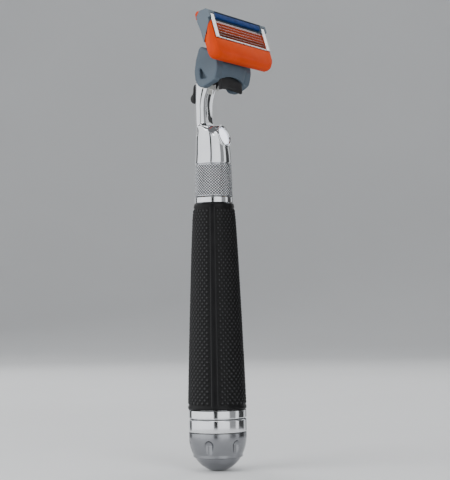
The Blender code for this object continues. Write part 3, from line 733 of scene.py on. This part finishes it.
def build_dock():
    """Dark docking block: its crescent lip shows under the front of the yoke's arch."""
    lip = ((0, 8.2), (3, 8.2), (5.8, 8.25), (7.4, 8.25), (8.1, 7.9), (7.6, 7.3), (5.6, 6.7), (2.8, 5.9),
           (0, 5.4))
    root = ((0, 7.5), (3, 7.45), (5.8, 7.35), (7.6, 6.9), (8.6, 5.4), (8.6, 3.4), (7.2, 1.0), (4.0, -1.4),
            (0, -1.6))
    middle = 6.4
    stations = ((3.7, lip, 0.80), (3.9, lip, 0.88), (3.8, lip, 0.94), (3.55, lip, 0.98), (3.0, lip, 1.0),
                (2.0, lip, 1.0), (0.5, lip, 0.99), (0.1, lip, 0.95), (-0.1, root, 1.0), (-3.0, root, 1.0))
    rings = []
    for drop, half, scale in stations:
        plan = smooth_loop(list(half) + [(-x, forward) for x, forward in half[-2:0:-1]])
        rings.append([(x * scale, -middle - (forward - middle) * scale, arch_z(x * scale, drop))
                      for x, forward in plan])
    dock = make_piece("docking_block", *skin(rings, fan=True), dark_plastic, "handle", "dark_plastic",
                      ["docking_head"], sharp=60)
    bore = [[(PLUNGER_BORE_R * math.cos(a), -PLUNGER_FORWARD + PLUNGER_BORE_R * math.sin(a), z)
             for a in angles(32)] for z in (137, 146)]
    combine(dock, skin(bore))
    return dock


def build_button():
    """Release slide on the neck's back: a slim plate that ends in a rounded finger stop."""
    rings = []
    plate = ((138.7, 1.5, 5.95, 0.25), (138.4, 1.9, 6.1, 0.42), (137.4, 2.2, 6.25, 0.55),
             (136.0, 2.2, 6.35, 0.6),
             (135.1, 2.2, 6.5, 0.75), (134.6, 2.25, 6.75, 1.0), (134.0, 2.3, 6.95, 1.2),
             (133.3, 2.3, 7.0, 1.25),
             (132.5, 2.2, 6.9, 1.15), (132.0, 1.9, 6.65, 0.9), (131.75, 1.4, 6.4, 0.6))
    for height, half_width, middle, half_depth in eased(plate, 4):
        rings.append([(half_width * power(math.cos(a), 0.7), middle + half_depth * power(math.sin(a), 0.7),
                       height)
                      for a in angles(48)])
    button = make_piece("button_slide", *skin(rings), dark_plastic, "release", "dark_plastic",
                        ["release_button"])
    combine(button, prism([(3.2, 134.9), (7.0, 134.9), (7.0, 136.1), (3.2, 136.1)], -1.1, 1.1), "UNION")
    return button


def build_yoke():
    """Slate yoke: hub over the dock, two lobed cheeks and their pivot journals, blended into one moulding."""
    half, low, top = 12.2, 133.5, 146.0
    stations = ((low, 8.1, -3.4), (137.5, 8.5, -3.5), (140.0, 9.3, -3.6), (142.5, 9.9, -3.6),
                (144.4, 10.1, -3.5), (top, 9.2, -3.0))
    rings = [[(x, -forward, height) for x, forward in head_plan(half, front, rear)]
             for height, front, rear in eased(stations, 3)]
    yoke = make_piece("yoke_moulding", *skin(rings), slate, "yoke", "slate_plastic", ["yoke"])
    arch = [(x, arch_z(x)) for x in np.linspace(-13.5, 13.5, 61)]
    below = [(13.5, low - 2), (-13.5, low - 2)]
    combine(yoke, skin([[(x, y, z) for x, z in arch + below] for y in (-16, 10)]))

    tip = [(PIVOT_FORWARD + 1.7 * math.cos(a), PIVOT_Z + 1.7 * math.sin(a))
           for a in (math.radians(110 - 14 * step) for step in range(11))]
    arm = [(2.6, 144.0), (3.2, 149.6), (4.4, 149.7), (8.2, 149.2)] + tip + [(8.9, 143.0)]
    lobe = [(0.75, 137.4), (0.3, 138.6), (0.05, 141.4), (0.7, 145.4), (1.9, 149.2), (2.6, 150.0),
            (3.5, 150.0),
            (4.8, 149.2), (7.0, 147.8), (8.7, 146.3), (9.5, 144.5), (9.6, 142.4), (9.1, 140.0),
            (8.7, 138.6), (7.9, 137.8),
            (6.5, 137.0), (5.0, 136.3), (3.4, 135.75), (2.3, 135.7), (1.4, 136.4)]
    recess = soften([(-2.2, 143.0), (-2.5, 138.8), (-5.2, 138.8)], 0.35)
    for side in (-1, 1):
        for outline, inner, outer in ((arm, 8.4, 11.4), (lobe, 8.4, half)):
            low_x, high_x = sorted((side * inner, side * outer))
            combine(yoke, prism([(-forward, height) for forward, height in outline], low_x, high_x), "UNION")
        journal = [(-PIVOT_FORWARD + 0.8 * math.cos(a), PIVOT_Z + 0.8 * math.sin(a)) for a in angles(24)]
        low_x, high_x = sorted((side * 7.4, side * 12.4))
        combine(yoke, prism(journal, low_x, high_x), "UNION")
        low_x, high_x = sorted((side * (half - 1.6), side * 14.0))
        combine(yoke, prism(recess, low_x, high_x))
    cavity = [[(x, -forward, height) for x, forward in head_plan(half - 1.7, front, rear)]
              for height, front, rear in ((130.0, 7.3, -2.2), (144.4, 8.3, -2.2))]
    combine(yoke, skin(cavity))
    combine(yoke, prism([(-7.8, 143), (-1.4, 143), (-1.4, 148), (-7.8, 148)], -3.2, 3.2))
    remesh = yoke.modifiers.new("moulded", "REMESH")
    remesh.mode = "VOXEL"
    remesh.voxel_size = 0.17 * MM
    remesh.use_smooth_shade = True
    smooth = yoke.modifiers.new("softened", "SMOOTH")
    smooth.factor = 0.5
    smooth.iterations = 22
    return yoke


# ---------------------------------------------------------------- blade unit

def build_housing():
    """Slate cartridge frame with its blade window, yoke slots and end recesses."""
    half = CARTRIDGE_HALF
    outline = [(0.5, -5.3), (-0.3, -6.0), (-3.0, -6.1), (-4.7, -4.6), (-4.9, -2.5), (-4.5, 1.0), (-4.4, 9.0),
               (-1.2, 9.0), (-1.2, 4.45), (-0.4, 4.45), (-0.4, -2.6), (0.5, -2.9)]
    housing = make_piece("cartridge_frame", *face_prism(outline, -half, half), slate, "blade_unit",
                         "slate_plastic", ["cartridge_housing"])
    lug = [(-10.0, 3.9), (-9.6, 2.6), (-4.3, 1.6), (-4.3, 5.55)]
    combine(housing, face_prism(lug, -2.5, 2.5), "UNION")
    combine(housing, face_block(-16.4, 16.4, (-3.3, 3), (-2.5, 3.9)))
    combine(housing, face_block(-16.6, 16.4, (-1.0, 3), (-5.4, -2.9)))
    combine(housing, face_block(-16.4, 16.4, (-1.4, 3), (-3.1, -2.2)))
    recess = [(0.7, -3.2), (0.7, 12), (-4.7, 12), (-4.7, 5.3)]
    for side in (-1, 1):
        low, high = sorted((side * 19.4, side * 21.5))
        combine(housing, face_prism(recess, low, high))
        low, high = sorted((side * 16.8, side * 19.4))
        combine(housing, face_block(low, high, (-0.4, 3), (-4.45, 4.6)))
        low, high = sorted((side * 8.0, side * 11.8))
        combine(housing, face_block(low, high, (-6, -1.6), (4.2, 9.6)))
        seat = [(-FACE_DEPTH - 1.15 * math.cos(a), FACE_RISE - 1.15 * math.sin(a)) for a in angles(24)]
        low, high = sorted((side * 7.0, side * 12.8))
        combine(housing, face_prism(seat, low, high))
    bevel(housing, 0.22, 3)
    return housing


def build_guard():
    """Orange guard: front panel with a sloping border that rounds its lower corners, and two end cheeks."""
    half = CARTRIDGE_HALF
    inner, cheek_top, window = 19.55, -1.75, 4.72

    def outline(side_inset, bottom, corner, top):
        """U outline as (across, down) points, from the top of one cheek round to the other."""
        edge = half - side_inset
        turns = [math.pi / 2 * step / 10 for step in range(11)]
        right = [(edge - corner + corner * math.cos(a),
                  bottom - corner + corner * math.sin(a)) for a in turns]
        outer = [(edge, top), (edge, 2.0), (edge, window)] + right
        across = outer + [(-x, down) for x, down in reversed(outer)]
        return across + [(-inner, top), (-inner, window), (inner, window), (inner, top)]

    layers = ((-4.2, 0.4, 10.7, 2.0, 6.2), (-3.9, 0.1, 11.1, 2.3, 5.6), (-2.6, 0.05, 11.4, 2.9, 2.8),
              (-1.7, 0.05, 11.4, 3.3, 0.8), (-1.1, 0.15, 11.2, 3.4, -0.6), (-0.25, 0.65, 10.3, 3.0, -1.4),
              (0.05, 0.95, 9.7, 2.6, cheek_top))
    rings = [[on_face(x, out, down) for x, down in outline(inset, bottom, corner, top)]
             for out, inset, bottom, corner, top in layers]
    guard = make_piece("guard_moulding", *skin(rings), orange, "blade_unit", "orange_rubber",
                       ["elastomer_guard"], sharp=50)
    bevel(guard, 0.12, 2, 40)
    return guard


def build_face():
    """Everything on the blade face: strip, blades, lower bar, clips, and the trimmer on the back."""
    strip = soften([(0.05, -5.15), (0.35, -4.85), (0.42, -4.2), (0.36, -3.5), (0.2, -3.3), (0.0, -3.15),
                    (-0.7, -3.15), (-0.7, -5.15)], 0.12)
    piece = make_piece("strip", *face_prism(strip, -16.4, 15.9), strip_blue, "blade_unit", "blue_strip",
                       ["lubricating_strip"])
    bevel(piece, 0.15, 3)
    for index, (middle, width) in enumerate(((-1.65, 0.74), (-0.45, 0.5), (0.65, 0.5), (1.75, 0.5),
                                             (2.85, 0.5))):
        upper, lower = middle - width / 2, middle + width / 2
        section = [(-0.12, upper), (0.08, lower - 0.06), (0.04, lower), (-0.2, lower), (-0.5, upper + 0.28),
                   (-3.0, upper + 0.28), (-3.0, upper)]
        piece = make_piece(f"blade_strip_{index + 1}", *face_prism(section, -16.2, 16.2), blade_steel,
                           "blade_unit", "steel", [f"blade_{index + 1}"])
        bevel(piece, 0.03, 2)
    bar = [(0.12, 3.92), (0.26, 4.1), (0.24, 4.36), (0.02, 4.5), (-0.3, 4.5), (-0.3, 3.92)]
    bevel(make_piece("lower_bar", *face_prism(bar, -17.0, 17.0), clip_steel, "blade_unit", "steel"), 0.06, 2)
    for side, label in ((-1, "left"), (1, "right")):
        staple = [(0.42, -4.2), (0.42, 4.55), (-2.2, 4.55), (-2.2, 4.05), (-0.05, 4.05), (-0.05, -3.75),
                  (-2.2, -3.75), (-2.2, -4.2)]
        low, high = sorted((side * 17.05, side * 19.15))
        bevel(make_piece(f"clip_band_{label}", *face_prism(staple, low, high), clip_steel, "blade_unit",
                         "steel", [f"clip_{label}"]), 0.16, 3)
    hood = [(-3.3, -6.5), (-4.6, -6.8), (-5.5, -6.0), (-5.7, -3.9), (-5.2, -3.7), (-5.05, -4.6),
            (-3.4, -6.25)]
    bevel(make_piece("trimmer_hood", *face_prism(hood, -19.4, 19.4), orange, "blade_unit", "orange_rubber",
                     ["trimmer_guard"]), 0.15, 3)


build_grip()
build_collar()
build_rings()
build_dome()
build_threaded_core()
build_neck()
build_lamp()
build_dock()
build_button()
build_yoke()
build_housing()
build_guard()
build_face()


# ---------------------------------------------------------------- studio

CAMERA_AZIMUTH = math.radians(-59.77)
CAMERA_TILT, CAMERA_ROLL = math.radians(-2.18), math.radians(-1.0)
CAMERA_PLACE = Vector((-450.59, -266.95, 62.22))
CAMERA_LENS = 109.5

# Lights as name, azimuth in degrees, height, distance, size and power, in metres and watts.
SOFT_BOXES = (("key", -122, 0.28, 0.8, (0.65, 0.75), 7.0), ("fill", -34, 0.24, 0.8, (0.36, 0.75), 4.5),
              ("face", 66, 0.42, 0.75, (0.45, 0.40), 1.1), ("edges", 98, 0.50, 0.70, (0.40, 0.35), 0.8),
              ("rear", 150, 0.50, 0.8, (0.4, 0.5), 3.0), ("top", -60, 1.05, 0.15, (0.7, 0.7), 4.0))
LIGHTS_AIM = Vector((0, 0, 0.09))

# Cards stood close round the object for the metal to reflect: first and last azimuth, and brightness.
REFLECTORS = ((-180, -74, 1.5), (-73, -59, 0.0), (-57, -13, 1.4), (-12, 15, 0.28), (16, 30, 1.2),
              (31, 66, 0.02), (67, 88, 0.7), (89, 128, 0.03), (129, 158, 0.9), (159, 180, 0.05))
UPPER_REFLECTOR = (48, 130, 1.25)       # for the clips and blades, which lean back
CARD_AWAY, CARD_STEPS = 115.0, 16
CARD_HEIGHTS, UPPER_CARD_HEIGHTS = (0.2, 186), (188, 300)


def build_camera():
    data = bpy.data.cameras.new("camera")
    data.sensor_width = 36
    data.lens = CAMERA_LENS
    camera = bpy.data.objects.new("camera", data)
    bpy.context.scene.collection.objects.link(camera)
    back = Vector((math.sin(CAMERA_AZIMUTH) * math.cos(CAMERA_TILT),
                   -math.cos(CAMERA_AZIMUTH) * math.cos(CAMERA_TILT), math.sin(CAMERA_TILT)))
    camera.rotation_mode = "QUATERNION"
    facing = (-back).to_track_quat("-Z", "Y")
    camera.rotation_quaternion = facing @ Quaternion((0, 0, 1), CAMERA_ROLL)
    camera.location = CAMERA_PLACE * MM
    bpy.context.scene.camera = camera


def build_studio():
    """Pale round floor that curves up into a wall, soft boxes and a dim even world."""
    flat_r, wall_r, fillet = 900.0, 1500.0, 600.0
    profile = [(1.0, 0.0), (300.0, 0.0), (flat_r, 0.0)]
    profile += [(flat_r + fillet * math.sin(a), fillet * (1 - math.cos(a)))
                for a in (math.radians(9 * step) for step in range(1, 11))]
    profile.append((wall_r, 1100.0))
    rings = [[(r * math.cos(a), r * math.sin(a), z - 0.05) for a in angles(72)] for r, z in profile]
    verts, faces = skin(rings)
    pale = surface("pale_floor", (0.72, 0.73, 0.74), (0.75, 0.9), spread=0.015, grain=1.5, depth=0.02,
                   patch=150)
    floor = make_piece("floor", verts, faces[:-1], pale, None, None)

    world = bpy.data.worlds.new("studio")
    bpy.context.scene.world = world
    world.use_nodes = True
    background = world.node_tree.nodes["Background"]
    background.inputs["Color"].default_value = (0.80, 0.82, 0.85, 1)
    background.inputs["Strength"].default_value = 0.22

    for name, azimuth, height, distance, size, watts in SOFT_BOXES:
        data = bpy.data.lights.new(name, "AREA")
        data.shape = "RECTANGLE"
        data.size, data.size_y = size
        data.energy = watts
        light = bpy.data.objects.new(name, data)
        bpy.context.scene.collection.objects.link(light)
        a = math.radians(azimuth)
        light.location = (distance * math.sin(a), -distance * math.cos(a), height)
        light.rotation_euler = (LIGHTS_AIM - light.location).to_track_quat("-Z", "Y").to_euler()
        light.visible_camera = False


def build_reflectors():
    """Curved studio cards, light and dark by turns, that only the glossy surfaces see."""
    cards = [(*card, CARD_HEIGHTS) for card in REFLECTORS] + [(*UPPER_REFLECTOR, UPPER_CARD_HEIGHTS)]
    for number, (first, last, brightness, card_heights) in enumerate(cards):
        look = surface(f"card_{number}", (0.01, 0.01, 0.01), (0.8, 0.9), grain=2.0, depth=0.05, patch=60,
                       Emission_Color=(0.96, 0.98, 1.0, 1), Emission_Strength=brightness)
        turn = [math.radians(first + (last - first) * step / CARD_STEPS) for step in range(CARD_STEPS + 1)]
        verts = [(CARD_AWAY * math.sin(a), -CARD_AWAY * math.cos(a), z) for z in card_heights for a in turn]
        faces = [(step, step + 1, step + CARD_STEPS + 2, step + CARD_STEPS + 1) for step in range(CARD_STEPS)]
        card = make_piece(f"card_{number}", verts, faces, look, None, None)
        card.visible_camera = card.visible_shadow = card.visible_diffuse = False
        card.visible_transmission = card.visible_volume_scatter = False


build_camera()
build_studio()
build_reflectors()
